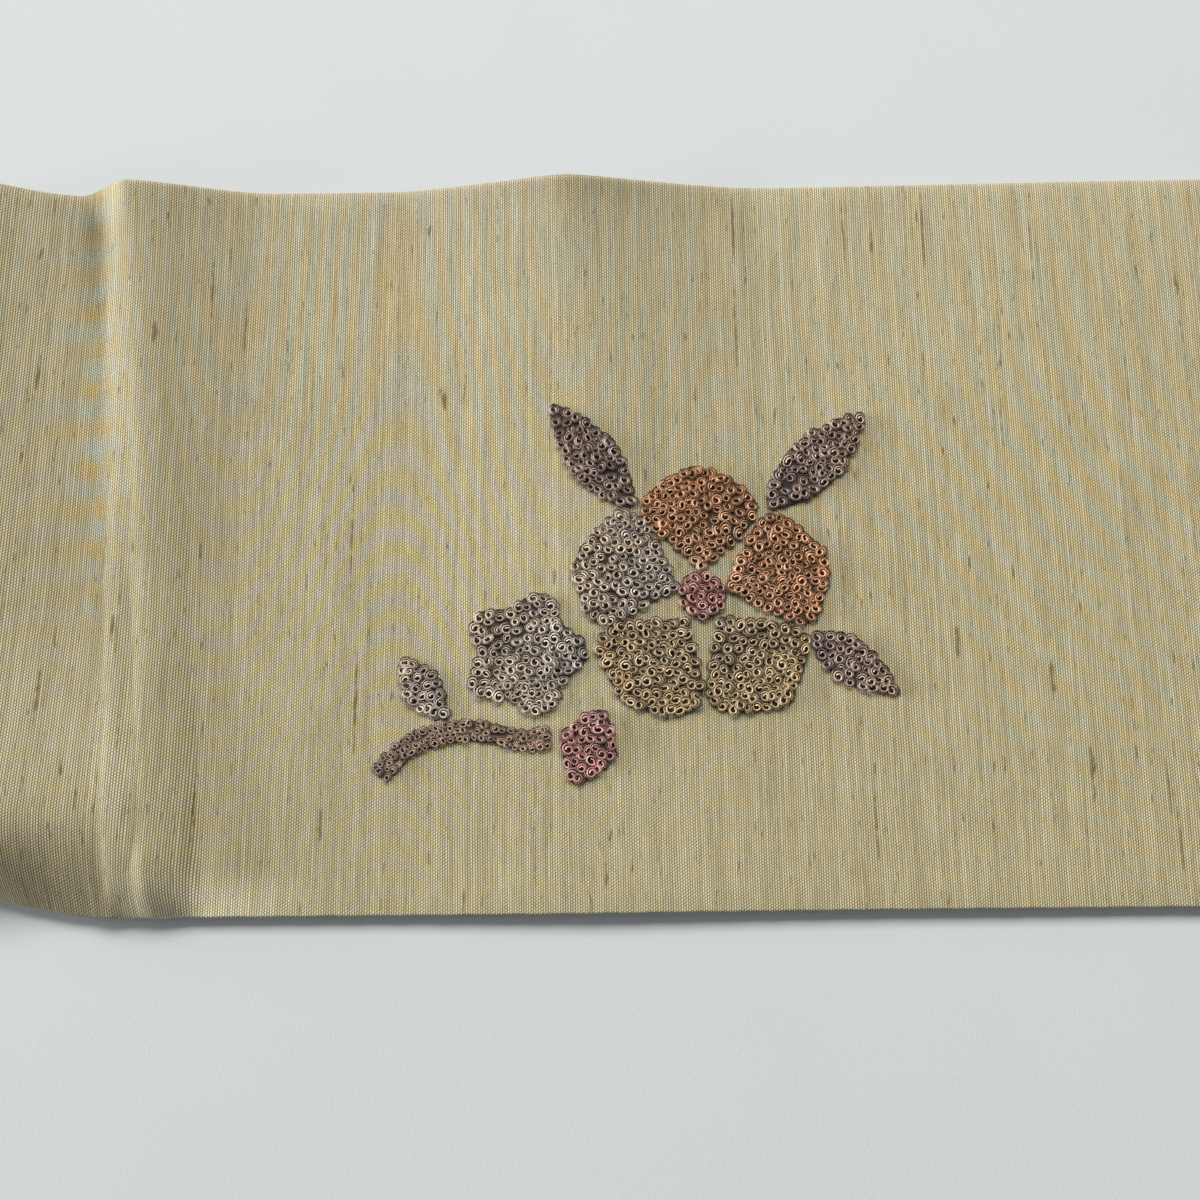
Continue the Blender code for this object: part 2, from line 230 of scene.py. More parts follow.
def edge_shift(x, share):
    """How far a point is moved across the sash, at a share of its width from the top edge."""
    upper = noise.noise(Vector((x / EDGE_WANDER_LENGTH, 1.3, 0.0)))
    lower = noise.noise(Vector((x / EDGE_WANDER_LENGTH, 8.9, 0.0)))
    near_seam = max(share - PULLED_SHARE, 0.0) / (1 - PULLED_SHARE)
    stitch = SEAM_PULL * near_seam * (0.5 + 0.5 * math.cos(2 * math.pi * x / STITCH_PITCH))
    away = abs(x - PULL_X) / (PULL_LEFT if x < PULL_X else PULL_RIGHT)
    drawn_in = PULL_DEPTH * (0.5 + 0.5 * math.cos(math.pi * min(away, 1.0))) * share**8
    bowed = min(max((x - BOW_START) / (BOW_END - BOW_START), 0.0), 1.0)
    bow = BOW_DEPTH * (0.5 - 0.5 * math.cos(2 * math.pi * bowed)) * (1 - share)
    return EDGE_WANDER * between(upper, lower, share) + stitch + drawn_in + bow


# ---------------------------------------------------------------- sections across the sash

# A section is a ribbon: a list of (outer side, inner side, distance round the cloth). A side is
# (distance from the top edge, height above the underside).
LIP_STEPS = 5
LIP_RADIUS = 0.45 * WALL
LIP_SLOPE = 0.12 * WALL  # how far a lip's inner side is set back at its end
FLAT_START = 0.9 * WALL  # from the seam to the first point of the flat
TURN_STEPS = 10


def lip(width):
    """The rounded edge of a face layer at the seamed side, seam first."""
    ribbon = []
    for step in range(LIP_STEPS + 1):
        angle = math.pi / 2 * step / LIP_STEPS
        back = LIP_RADIUS * (1 - math.cos(angle))
        down = LIP_RADIUS * (1 - math.sin(angle))
        outer = (width - back, THICKNESS - down)
        inner = (width - back - LIP_SLOPE * math.sin(angle), WALL + LAYER_GAP)
        ribbon.append((outer, inner, back))
    return ribbon


def layer(width, step):
    """The flat of a face layer, seam side first, with a point every step."""
    flat = width - FLAT_START - THICKNESS / 2
    count = max(3, round(flat / step))
    ribbon = []
    for index in range(1, count):
        back = FLAT_START + flat * index / count
        at = width - back
        ribbon.append(((at, THICKNESS), (at, WALL + LAYER_GAP), back))
    return ribbon


def folded_edge(width):
    """The turn from the face layer to the one below, round the plane between them."""
    middle = THICKNESS / 2
    ribbon = []
    for step in range(TURN_STEPS + 1):
        angle = math.pi / 2 + math.pi * step / TURN_STEPS
        sides = []
        for radius in (middle, LAYER_GAP / 2):
            sides.append((middle + radius * math.cos(angle), middle + radius * math.sin(angle)))
        ribbon.append((sides[0], sides[1], width - middle + middle * (angle - math.pi / 2)))
    return ribbon


def turned_over(ribbon, round_length):
    """The same ribbon as the layer below, turned over about the plane between the layers."""
    return [
        ((a, THICKNESS - b), (c, THICKNESS - d), round_length - back)
        for (a, b), (c, d), back in reversed(ribbon)
    ]


def sleeve_section(width, step):
    """The folded part: a face layer, the folded edge and the layer below."""
    face = lip(width) + layer(width, step)
    round_length = 2 * width - THICKNESS + math.pi * THICKNESS / 2
    return face + folded_edge(width) + turned_over(face, round_length)


def face_section(width, step):
    """The face of the wide part, with a rounded lip on both edges."""
    far = lip(width)
    near = [((width - a, b), (width - c, d), width - back) for (a, b), (c, d), back in reversed(far)]
    return far + layer(width, step) + near


def lining_section(width, step):
    return turned_over(face_section(width, step), 3 * width)


# ---------------------------------------------------------------- materials

# Sockets that are taken by their place: a Texture Coordinate's Object, an Attribute's Fac, and a Mix
# node's factor, two colours and result.
OBJECT_PLACE, ATTRIBUTE_NUMBER = 3, 2
MIX_SHARE, MIX_FIRST, MIX_SECOND, MIX_COLOUR = 0, 6, 7, 2


class Socket:
    """A shader value. Arithmetic on it adds Math nodes; colours and vectors go through Mix."""

    def __init__(self, graph, socket):
        self.graph, self.socket = graph, socket

    def maths(self, operation, *others):
        return self.graph.node("ShaderNodeMath", {"operation": operation}, self, *others)

    def __add__(self, other):
        return self.maths("ADD", other)

    def __radd__(self, other):
        return self.maths("ADD", other)

    def __sub__(self, other):
        return self.maths("SUBTRACT", other)

    def __rsub__(self, other):
        return self.graph.node("ShaderNodeMath", {"operation": "SUBTRACT"}, other, self)

    def __mul__(self, other):
        return self.maths("MULTIPLY", other)

    def __rmul__(self, other):
        return self.maths("MULTIPLY", other)

    def __truediv__(self, other):
        return self.maths("DIVIDE", other)

    def __rtruediv__(self, other):
        return self.graph.node("ShaderNodeMath", {"operation": "DIVIDE"}, other, self)

    def sine(self):
        return self.maths("SINE")

    def absolute(self):
        return self.maths("ABSOLUTE")

    def floor(self):
        return self.maths("FLOOR")

    def above(self, low, high):
        """0 below low, 1 above high, and a smooth step between them."""
        settings = {"interpolation_type": "SMOOTHSTEP"}
        return self.graph.node("ShaderNodeMapRange", settings, self, low, high)

    def within(self, low, high):
        return self.graph.node("ShaderNodeClamp", {}, self, low, high)

    def hump(self, middle, reach):
        """1 at the middle, half of that a reach away from it, and next to nothing far off."""
        away = (self - middle) / reach
        return 1 / (1 + away * away)


class Graph:
    """The node tree of one Principled material."""

    def __init__(self, name, roughness=0.6, **constants):
        self.material = bpy.data.materials.new(name)
        self.material.use_nodes = True
        self.tree = self.material.node_tree
        self.shader = self.tree.nodes["Principled BSDF"]
        self.shader.inputs["Roughness"].default_value = roughness
        for socket_name, value in constants.items():
            self.shader.inputs[socket_name.replace("_", " ")].default_value = value

    def node(self, kind, settings, *values, output=0, **named):
        """Adds a node, sets it up, fills its inputs in order or by name, and returns an output."""
        made = self.tree.nodes.new(kind)
        for key, value in settings.items():
            setattr(made, key, value)
        pairs = list(enumerate(values)) + [(key.replace("_", " "), v) for key, v in named.items()]
        for key, value in pairs:
            if isinstance(value, Socket):
                self.tree.links.new(value.socket, made.inputs[key])
            else:
                made.inputs[key].default_value = value
        return Socket(self, made.outputs[output])

    def axes_of(self, place):
        return [self.node("ShaderNodeSeparateXYZ", {}, place, output=axis) for axis in (0, 1)]

    def map_axes(self, name):
        """The two coordinates of one of the piece's own maps."""
        return self.axes_of(self.node("ShaderNodeUVMap", {"uv_map": name}))

    def object_axes(self):
        """X and Y on the piece itself."""
        return self.axes_of(self.node("ShaderNodeTexCoord", {}, output=OBJECT_PLACE))

    def attribute(self, name):
        return self.node("ShaderNodeAttribute", {"attribute_name": name}, output=ATTRIBUTE_NUMBER)

    def noise(self, x, y, layer=0.0, detail=2.0, roughness=0.5):
        """Noise from 0 to 1, with one bump per unit of x and y. Each layer is a pattern of its own."""
        place = self.node("ShaderNodeCombineXYZ", {}, x, y, layer)
        named = {"Vector": place, "Scale": 1.0, "Detail": detail, "Roughness": roughness}
        return self.node("ShaderNodeTexNoise", {}, **named)

    def mix(self, share, first, second, blend="MIX"):
        """A colour between two colours."""
        made = self.tree.nodes.new("ShaderNodeMix")
        made.data_type = "RGBA"
        made.blend_type = blend
        for index, value in ((MIX_SHARE, share), (MIX_FIRST, first), (MIX_SECOND, second)):
            if isinstance(value, Socket):
                self.tree.links.new(value.socket, made.inputs[index])
            elif index == MIX_SHARE:
                made.inputs[index].default_value = value
            else:
                made.inputs[index].default_value = (*value, 1.0)
        return Socket(self, made.outputs[MIX_COLOUR])

    def grey(self, value):
        """A value as a colour, to multiply another colour by."""
        return self.node("ShaderNodeCombineColor", {}, value, value, value)

    def bump(self, height, distance, strength=1.0):
        named = {"Height": height, "Distance": distance, "Strength": strength}
        return self.node("ShaderNodeBump", {}, **named)

    def finish(self, **links):
        for name, value in links.items():
            self.tree.links.new(value.socket, self.shader.inputs[name.replace("_", " ")])
        return self.material


# Where the front's folds change the silk's colour and put painted light and shade on it, in metres
# along the sash. Going down from the folded edge to the seam, a slanting line moves on by its slant.
# A reach is how far from its line a change has faded by half. CROWN_DEPTH is a share of the width.
CROWN_X, CROWN_REACH, CROWN_DEPTH = 0.072, 0.030, 0.22  # the broad fold, where it meets the folded edge
VALLEY_X, VALLEY_SLANT, VALLEY_REACH = -0.0100, 0.010, 0.0040  # beside the sharp ridge
RIDGE_X, RIDGE_SLANT, RIDGE_REACH = -0.0058, 0.0115, 0.0042  # the sharp ridge's back
FLAP_END_X, BESIDE_X = 0.0040, 0.0090  # where the flap ends, and where the cloth beside it starts
LEFT_CREASE_X, STRIP_X, RIGHT_CREASE_X = 0.0014, 0.0056, 0.0088
STRIP_REACH = 0.0022
EDGE_PALE_REACH = 0.0016

# The bands of colour, along the sash: they wave at the left and run straight at the right. They are
# strongest at two places, each given with how far from it they have faded by half.
WAVE_X, WAVE_LENGTH, WAVE_HEIGHT = 0.0402, 0.071, 3.2
STRAIGHT_BANDS_X, STRAIGHT_BANDS_WIDTH, BANDS_PER_METRE = 0.129, 0.130, 140.0
BANDS_STRAIGHTEN, BANDS_STOP = (0.122, 0.150), (0.250, 0.275)
BANDS_DOWN = 17.0  # as many as they move on by from the folded edge to the seam
LEFT_PLAY, RIGHT_PLAY = (0.057, 0.034), (0.198, 0.052)
VALLEY_BANDS = 17.6  # as many as would fit down the whole valley


def weave(graph, along, around, cloth):
    """A plain weave that strays a little: weft on top, its fullness, and the place across the wefts."""
    weft = along / cloth.weft_pitch + graph.noise(along / 0.030, around / 0.070, 1.0) * 4.0
    warp = around / cloth.warp_pitch + graph.noise(along / 0.045, around / 0.018, 5.0) * 4.5
    crossing = (weft * math.pi).sine() * (warp * math.pi).sine()
    return crossing.above(-0.45, 0.25), (weft * math.pi).sine().absolute(), weft


def slub_share(graph, along, around):
    """How much slub shows: short thick places of dark fibre in the weft, and long broken streaks."""
    fray = graph.noise(along / 0.0004, around / 0.0016, 41.0, detail=2.0)
    nep = graph.noise(along / 0.0010, around / 0.0065, 12.0, detail=2.0)
    line = graph.noise(along / 0.0011, around / 0.0450, 17.0, detail=1.0)
    dash = graph.noise(along / 0.0005, around / 0.0026, 23.0, detail=3.0)
    short = (nep + fray * 0.22).above(0.74, 0.90) * 0.78
    long = line.above(0.59, 0.76) * dash.above(0.44, 0.70) * 0.62
    return (short + long).within(0.0, 0.85)


def colour_play(graph, along, around, depth, valley, crown):
    """The tint of the soft bands where the light plays between the two sets of threads.

    They start as lines down from the folded edge and spread until they lie along the seam.
    """
    sway = graph.noise(along / 0.050, around / 0.060, 21.0, detail=1.0)
    to_right = (along - STRAIGHT_BANDS_X).within(0.0, STRAIGHT_BANDS_WIDTH)
    waves = ((along - WAVE_X) * (2 * math.pi / WAVE_LENGTH)).sine() * WAVE_HEIGHT
    straight = along.above(*BANDS_STRAIGHTEN) * (1 - along.above(*BANDS_STOP))
    lines = waves * (1 - straight) - to_right * BANDS_PER_METRE
    phase = lines + depth * depth * BANDS_DOWN + sway * 3.0
    strength = 0.22 + along.hump(*LEFT_PLAY) * 0.80 + along.hump(*RIGHT_PLAY) * 0.42
    uneven = 0.60 + graph.noise(along / 0.030, around / 0.040, 30.0) * 0.80
    strength = strength * depth.hump(0.44, 0.50) * uneven
    valley_band = (depth * (2 * math.pi * VALLEY_BANDS)).sine() * (1 - depth.above(0.45, 0.75)) * valley
    blotch = graph.noise(along / 0.0035, around / 0.010, 61.0, detail=1.0) - 0.5
    band = (phase * (2 * math.pi)).sine() * strength + valley_band * 1.2 + blotch * 0.9
    orange = (along.above(0.085, 0.140) + 1 - depth.above(0.20, 0.48) + valley).within(0.0, 1.0)
    red = 1 + band * (orange * 0.050 + 0.036)
    green = 1 - band * orange * 0.048
    blue = 1 - band * 0.26 + crown * 0.10
    return graph.node("ShaderNodeCombineColor", {}, red, green, blue)


def fold_painted_light_and_shade(along, depth, valley, crown):
    """How much painted light or shade the folds put on the silk: lighter on the ridge and by the flap,
    darker in the valley, along two crease lines, on the roll and at the crown.
    """
    # Painted shade in the valley beside the sharp ridge, near the folded edge.
    painted_valley_shade = (1 - depth.above(0.03, 0.28)) * valley
    # Painted highlight on the sharp ridge's back, in the half near the folded edge.
    painted_ridge_highlight = (1 - depth.above(0.35, 0.65)) * (along - depth * RIDGE_SLANT).hump(RIDGE_X, RIDGE_REACH)
    # Painted light on the flap above its roll, and painted shade on the roll. Painted light on the
    # strip in its crease and on the cloth beside it, most along the seam.
    flap = 1 - along.above(FLAP_END_X, BESIDE_X)
    beside = along.above(FLAP_END_X, BESIDE_X) * (1 - along.above(0.0260, 0.0420))
    strip = depth.above(0.70, 0.84) * along.hump(STRIP_X, STRIP_REACH)
    painted_light_round_flap = flap * depth.above(0.56, 0.76) * (1 - depth.above(0.88, 0.94)) * 0.15 + strip * 0.20
    painted_light_round_flap = painted_light_round_flap + beside * (depth.above(0.50, 0.65) * 0.07 + depth.above(0.93, 0.98) * 0.34)
    # Painted shade along the crease on either side of the strip, near the seam.
    painted_crease_shade = along.hump(LEFT_CREASE_X, 0.0022) * 0.24 + along.hump(RIGHT_CREASE_X, 0.0018) * 0.15
    painted_crease_and_roll_shade = painted_crease_shade * depth.above(0.80, 0.90) + flap * depth.above(0.92, 0.98) * 0.14
    # The crown of the broad fold is darkened with painted shade.
    return painted_ridge_highlight * 0.22 + painted_light_round_flap - painted_crease_and_roll_shade - painted_valley_shade * 0.34 - crown * 0.12


def silk_material(name, colours, cloth, tone=1.0):
    """Slubby plain-woven silk: coarse weft across the sash, fine warp along it."""
    graph = Graph(name, roughness=0.42, Specular_IOR_Level=0.30, Sheen_Weight=0.08, Sheen_Roughness=0.4)
    along, around = graph.map_axes(CLOTH_MAP)
    depth = 1 - (around / HALF_WIDTH).within(0.0, 1.0)
    valley = (along - depth * VALLEY_SLANT).hump(VALLEY_X, VALLEY_REACH)
    crown_x, crown_depth = (along - CROWN_X) / CROWN_REACH, depth / CROWN_DEPTH
    crown = 1 / (1 + crown_x * crown_x + crown_depth * crown_depth)

    # Each weft thread has its own tone, which changes along it. In places every second one stands out.
    weft_on_top, yarn, weft = weave(graph, along, around, cloth)
    own_tone = graph.node("ShaderNodeTexWhiteNoise", {"noise_dimensions": "1D"}, W=weft.floor())
    thread_tone = graph.noise(weft.floor() * 1.7, around / 0.009, 2.5, detail=3.0, roughness=0.6)
    ribs = graph.noise(along / 0.030, around / 0.040, 51.0).above(0.48, 0.66) * 0.5 + crown
    second = ((weft + 0.5) * math.pi).sine() * ribs
    streak = graph.noise(along / 0.0011, around / 0.010, 9.0, detail=3.0, roughness=0.65)
    wide_streak = graph.noise(along / 0.0050, around / 0.045, 14.0, detail=2.0)
    light = own_tone * 0.16 + thread_tone * 0.62 + second * 0.10 + 0.20
    # The folds add painted light and shade to the silk's tone.
    light = light + streak * 0.34 + wide_streak * 0.24 + fold_painted_light_and_shade(along, depth, valley, crown)

    # The darker threads are the warmer ones. The folded edge is paler in places.
    warmth = graph.noise(along / 0.0009, around / 0.007, 33.0, detail=3.0) * 0.8 + 1.0 - light * 0.9
    tint = colour_play(graph, along, around, depth, valley, crown)
    slub = slub_share(graph, along, around)
    off_edge = (around - (HALF_WIDTH - THICKNESS / 2)).absolute() / EDGE_PALE_REACH
    paler_edge = 1 - (off_edge + graph.noise(along / 0.004, around / 0.001, 37.0) * 0.8 - 0.3).above(0.0, 1.0)
    ground = graph.mix(warmth.above(0.34, 0.66), colours.silk_mist, colours.silk_gold)
    ground = graph.mix(1.0, ground, graph.grey(light * tone), "MULTIPLY")
    ground = graph.mix(1.0, ground, tint, "MULTIPLY")
    ground = graph.mix(slub, ground, colours.slub)
    ground = graph.mix(paler_edge * 0.30, ground, colours.silk_mist)
    # The dark between the threads and at each weft's sides is partly their own colour, partly painted
    # shade.
    woven = graph.mix(weft_on_top * 0.26 + yarn * 0.94 - 0.16, colours.silk_gap, ground)
    relief = weft_on_top * 0.5 + yarn * 0.3 + thread_tone * 0.3 + slub * 0.7
    return graph.finish(Base_Color=woven, Normal=graph.bump(relief, 0.00016, 0.9))


TWISTS = 60  # of the thread, in one knot
WARM_CAST, COOL_CAST = (1.10, 1.0, 0.86), (0.97, 1.0, 1.08)
PALE_FIBRE = (0.260, 0.180, 0.065)


def thread_material(name, colour):
    """Twisted silk thread. Each knot has a tone of its own, with painted shade towards its foot and in
    its twist's grooves.
    """
    graph = Graph(name, roughness=0.32, Specular_IOR_Level=0.6, Sheen_Weight=0.10, Sheen_Roughness=0.35)
    rise, side = graph.map_axes(THREAD_MAP)
    tone = graph.attribute("tone")
    shade = graph.attribute("shade")
    twist = ((rise * TWISTS + side) * (2 * math.pi)).sine() * 0.5 + 0.5
    fibre = graph.noise(rise * 40, side * 4, tone * 20)
    # Painted shade: darker towards the foot, and partly in the grooves of the twist.
    light = (0.86 + tone * 0.66) * (0.22 + rise * 1.16) * (0.70 + twist * 0.24 + fibre * 0.30)
    warm = graph.mix(1.0, colour, WARM_CAST, "MULTIPLY")
    cool = graph.mix(1.0, colour, COOL_CAST, "MULTIPLY")
    hue = graph.mix((shade * 0.7 + (tone * 31).sine() * 0.18 + 0.15).within(0.0, 1.0), cool, warm)
    base = graph.mix(1.0, hue, graph.grey(light), "MULTIPLY")
    relief = twist * 0.7 + fibre * 0.3
    return graph.finish(Base_Color=base, Normal=graph.bump(relief, 0.00008, 0.8))


def slub_material(colours, cloth):
    """Dark coarse fibre, frayed at its sides and ends, with the silk's weave showing through it."""
    graph = Graph("slub_finish", roughness=0.8, Specular_IOR_Level=0.2)
    across, run = graph.map_axes(FIBRE_MAP)
    x, y = graph.object_axes()
    weft_on_top, _yarn, _weft = weave(graph, x, y + HALF_WIDTH, cloth)
    fibre = graph.noise(x / 0.00025, y / 0.0020, 0.0, detail=3.0)
    clump = graph.noise(x / 0.0007, y / 0.0030, 3.0, detail=2.0)
    middle = 1 - (across * across + run * run * 0.9)
    alpha = (middle * 0.9 + fibre * 1.3 + clump * 2.0 - 1.85).above(0.0, 0.80)
    alpha = alpha * (weft_on_top * 0.45 + 0.35)
    base = graph.mix(fibre.above(0.35, 0.75), colours.slub, PALE_FIBRE)
    return graph.finish(Base_Color=base, Alpha=alpha, Normal=graph.bump(fibre, 0.0001, 0.8))


def painted_shade_ground_material(name, colour):
    """Painted shade: the thread ends and silk that show in the knots' holes and between them, darkened
    almost to black.
    """
    graph = Graph(name, roughness=0.8)
    x, y = graph.object_axes()
    fleck = graph.noise(x / 0.0004, y / 0.0004, 0.0, detail=2.0)
    # Painted shade: the thread's colour is darkened almost to black.
    painted_shade_tone = 0.012 + fleck * 0.055
    shade = graph.node("ShaderNodeCombineColor", {}, painted_shade_tone * 1.15, painted_shade_tone, painted_shade_tone * 0.75)
    base = graph.mix(1.0, colour, shade, "MULTIPLY")
    return graph.finish(Base_Color=base, Normal=graph.bump(fleck, 0.0002, 0.6))


def floor_material(colour):
    """Plain pale board with the faintest mottle."""
    graph = Graph("floor_finish", roughness=0.75)
    x, y = graph.object_axes()
    mottle = graph.noise(x / 0.030, y / 0.030, 0.0, detail=3.0)
    grain = graph.noise(x / 0.0006, y / 0.0006, 0.0, detail=2.0)
    light = 0.97 + mottle * 0.04 + grain * 0.02
    base = graph.mix(1.0, colour, graph.grey(light), "MULTIPLY")
    return graph.finish(Base_Color=base, Normal=graph.bump(grain, 0.00005, 0.5))


# ---------------------------------------------------------------- making pieces


SLEEVE_ACROSS = 1.5  # a sleeve's points lie this much further apart across it than along it
SHARP_ANGLE = math.radians(55)
LEAST_STEP = 0.0001  # a stretch's last section is never nearer than this to the one before it


def add_piece(name, bm, material):
    """Makes the piece's object, which rides on the sash's one body."""
    mesh = bpy.data.meshes.new(name)
    bm.to_mesh(mesh)
    bm.free()
    mesh.materials.append(material)
    mesh.shade_smooth()
    mesh.set_sharp_from_angle(angle=SHARP_ANGLE)
    piece = bpy.data.objects.new(name, mesh)
    bpy.context.scene.collection.objects.link(piece)
    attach(piece, "root")
    return piece


def verts_of(geometry):
    return [item for item in geometry if isinstance(item, bmesh.types.BMVert)]


def stations_of(start, end, step):
    """Where the sections of a stretch stand: closer together beside the sharpest crest."""
    stations = [start]
    while stations[-1] < end - LEAST_STEP:
        near = abs(stations[-1] - CREASE_X) < CREASE_REACH
        stations.append(min(stations[-1] + (step * CREASE_SHARE if near else step), end))
    return stations


def make_stretch(name, start, end, section, along_step, across_step, material):
    """Sweeps a section of cloth along X over the folds and gives it the cloth map."""
    bm = bmesh.new()
    place = bm.verts.layers.int.new("place")
    stations = stations_of(start, end, along_step)
    flat_round = section(HALF_WIDTH, across_step)

    def set_positions(verts, x):
        top_y = top_edge_y(x)
        ribbon = section(top_y + HALF_WIDTH, across_step * (top_y + HALF_WIDTH) / HALF_WIDTH)
        lifts = {}
        for vert in verts:
            index, side = divmod(vert[place], 2)
            distance, height = ribbon[index][side]
            y = top_y - distance
            if y not in lifts:
                lifts[y] = raise_of(x, y)
            vert.co = (x, y + edge_shift(x, distance / (top_y + HALF_WIDTH)), height + lifts[y])

    rows = []
    for index in range(len(flat_round)):
        row = [bm.verts.new() for _side in range(2)]
        for side, vert in enumerate(row):
            vert[place] = 2 * index + side
        rows.append(row)
    for here, after in zip(rows, rows[1:]):
        bm.faces.new((here[0], here[1], after[1], after[0]))
    set_positions(bm.verts, start)
    end_cap = [*bm.verts, *bm.edges, *bm.faces]
    for x in stations[1:]:
        end_cap = bmesh.ops.extrude_face_region(bm, geom=end_cap)["geom"]
        set_positions(verts_of(end_cap), x)
    bmesh.ops.recalc_face_normals(bm, faces=bm.faces)
    cloth_map = bm.loops.layers.uv.new(CLOTH_MAP)
    for face in bm.faces:
        for loop in face.loops:
            distance_round = flat_round[loop.vert[place] // 2][2]
            loop[cloth_map].uv = (loop.vert.co.x, distance_round)
    return add_piece(name, bm, material)


# ---------------------------------------------------------------- the spray's patches

# Places are (along X from the spray's centre, down from the folded edge), in millimetres. A petal
# or leaf runs from its base in the direction of turn (degrees from +X, towards the folded edge),
# with its greatest width at the share given by belly.
Leaf = namedtuple("Leaf", "name along down turn length width belly colour")
BLOSSOM_ALONG, BLOSSOM_DOWN = 21.0, 92.0
BLOSSOM_HEART = 4.6
PETAL_START, PETAL_LENGTH, PETAL_WIDTH, PETAL_BELLY = 5.6, 21.4, 24.0, 0.60
PETAL_COLOURS = ("salmon", "ivory", "olive", "olive", "salmon")
FIRST_PETAL_TURN = 90.0
PLUM_ALONG, PLUM_DOWN = -15.5, 103.5
PLUM_RADIUS, PLUM_DENT = 12.8, 0.24
LEAVES = (
    Leaf("leaf_right", 35.6, 72.8, 44.0, 28.5, 11.0, 0.46, "taupe"),
    Leaf("leaf_left", 6.7, 73.0, 127.0, 27.5, 10.4, 0.46, "taupe"),
    Leaf("leaf_low", 43.6, 100.2, -37.0, 20.0, 8.8, 0.44, "taupe"),
    Leaf("leaf_small", -31.4, 116.2, 128.0, 15.0, 7.4, 0.50, "ivory"),
    Leaf("bud", 0.2, 115.4, -112.0, 15.5, 10.6, 0.48, "rose"),
)
TWIG_ROUTE = (
    (-44.5, 127.5),
    (-39.0, 121.8),
    (-32.6, 119.6),
    (-26.4, 118.9),
    (-21.0, 119.8),
    (-15.8, 121.4),
    (-10.6, 120.6),
)
TWIG_WIDTH = 3.9
LEAF_TIP, LEAF_SPAN = 0.04, 0.92  # a leaf's curve is cut off a little short, so its ends are blunt
OUTLINE_STEPS = 14

# The layer of thread that the knots stand on, set in from the patch's outline and dark with painted
# shade.
GROUND_LIFT = 0.00012
GROUND_HEIGHT = 0.00030
GROUND_INSET = 0.00115
GROUND_ROWS = 6
GROUND_COLUMNS, ROUND_COLUMNS = 16, 48

COIL_STEPS, COIL_SIDES = 20, 3
COIL_TURNS = 2.35
COIL_RISE, COIL_LEAN = 0.00048, 0.00040
THREAD_MAP = "thread"  # from a knot's foot to its top, and once round the thread

KNOT_MARGIN = -0.00015  # how deep inside the outline a knot's centre has to be
KNOT_STRAY = 0.08  # how far a knot strays from its even place, in pitches
SPREADING_ROUNDS = 12
SAMPLES_PER_PITCH = 6
TWIG_KNOT_SIZE = 0.72
KNOT_TURN = 0.7  # how far knots turn from facing the seam, in radians
SMALLEST_KNOT, KNOT_SIZE_SPREAD = 0.90, 0.30
LEAST_STRETCH, STRETCH_SPREAD = 0.85, 0.34
KNOT_SEAT = 0.6  # how high up in the ground's layer a knot's foot is
KNOT_UNEVENNESS = 0.00035


def leaf_place(leaf):
    """The function that gives a leaf's points from shares of its length and of its width."""
    turn = math.radians(leaf.turn)
    skew = math.log(0.5) / math.log(leaf.belly)

    def place(length_share, width_share):
        end_share = LEAF_TIP + LEAF_SPAN * length_share
        half = leaf.width / 2 * math.sin(math.pi * end_share**skew)
        forward = leaf.length * length_share
        side = half * (2 * width_share - 1)
        along = leaf.along + forward * math.cos(turn) - side * math.sin(turn)
        down = leaf.down - forward * math.sin(turn) - side * math.cos(turn)
        return along, down

    return place


def disc_place(along, down, radius_at):
    """The function that gives a round patch's points from shares of a turn and of its radius."""

    def place(turn_share, out_share):
        turn = 2 * math.pi * turn_share
        radius = radius_at(turn) * out_share
        return along + radius * math.cos(turn), down - radius * math.sin(turn)

    return place


def twig_place(length_share, width_share):
    """A point of the twig, beside the line through its route."""
    reach = length_share * (len(TWIG_ROUTE) - 1)
    first = min(int(reach), len(TWIG_ROUTE) - 2)
    (ax, ay), (bx, by) = TWIG_ROUTE[first], TWIG_ROUTE[first + 1]
    part = reach - first
    length = math.hypot(bx - ax, by - ay)
    side = TWIG_WIDTH * (width_share - 0.5)
    along = ax + (bx - ax) * part - side * (by - ay) / length
    return along, ay + (by - ay) * part + side * (bx - ax) / length


Patch = namedtuple("Patch", "name place round colour")


def spray_patches():
    """Every patch of the spray: the blossom's petals and heart, the leaves, the bud and the twig."""
    patches = []
    for index, colour in enumerate(PETAL_COLOURS):
        turn = FIRST_PETAL_TURN + 72 * index
        along = BLOSSOM_ALONG + PETAL_START * math.cos(math.radians(turn))
        down = BLOSSOM_DOWN - PETAL_START * math.sin(math.radians(turn))
        name = f"petal_{index + 1}"
        petal = Leaf(name, along, down, turn, PETAL_LENGTH, PETAL_WIDTH, PETAL_BELLY, colour)
        patches.append(Patch(name, leaf_place(petal), False, colour))
    for leaf in LEAVES:
        patches.append(Patch(leaf.name, leaf_place(leaf), False, leaf.colour))
    heart = disc_place(BLOSSOM_ALONG, BLOSSOM_DOWN, lambda turn: BLOSSOM_HEART)
    patches.append(Patch("blossom_heart", heart, True, "rose"))

    def plum_radius(turn):
        return PLUM_RADIUS * (1 - PLUM_DENT * (0.5 - 0.5 * math.cos(5 * turn)))

    patches.append(Patch("plum_blossom", disc_place(PLUM_ALONG, PLUM_DOWN, plum_radius), True, "ivory"))
    patches.append(Patch("twig", twig_place, False, "brown"))
    return patches


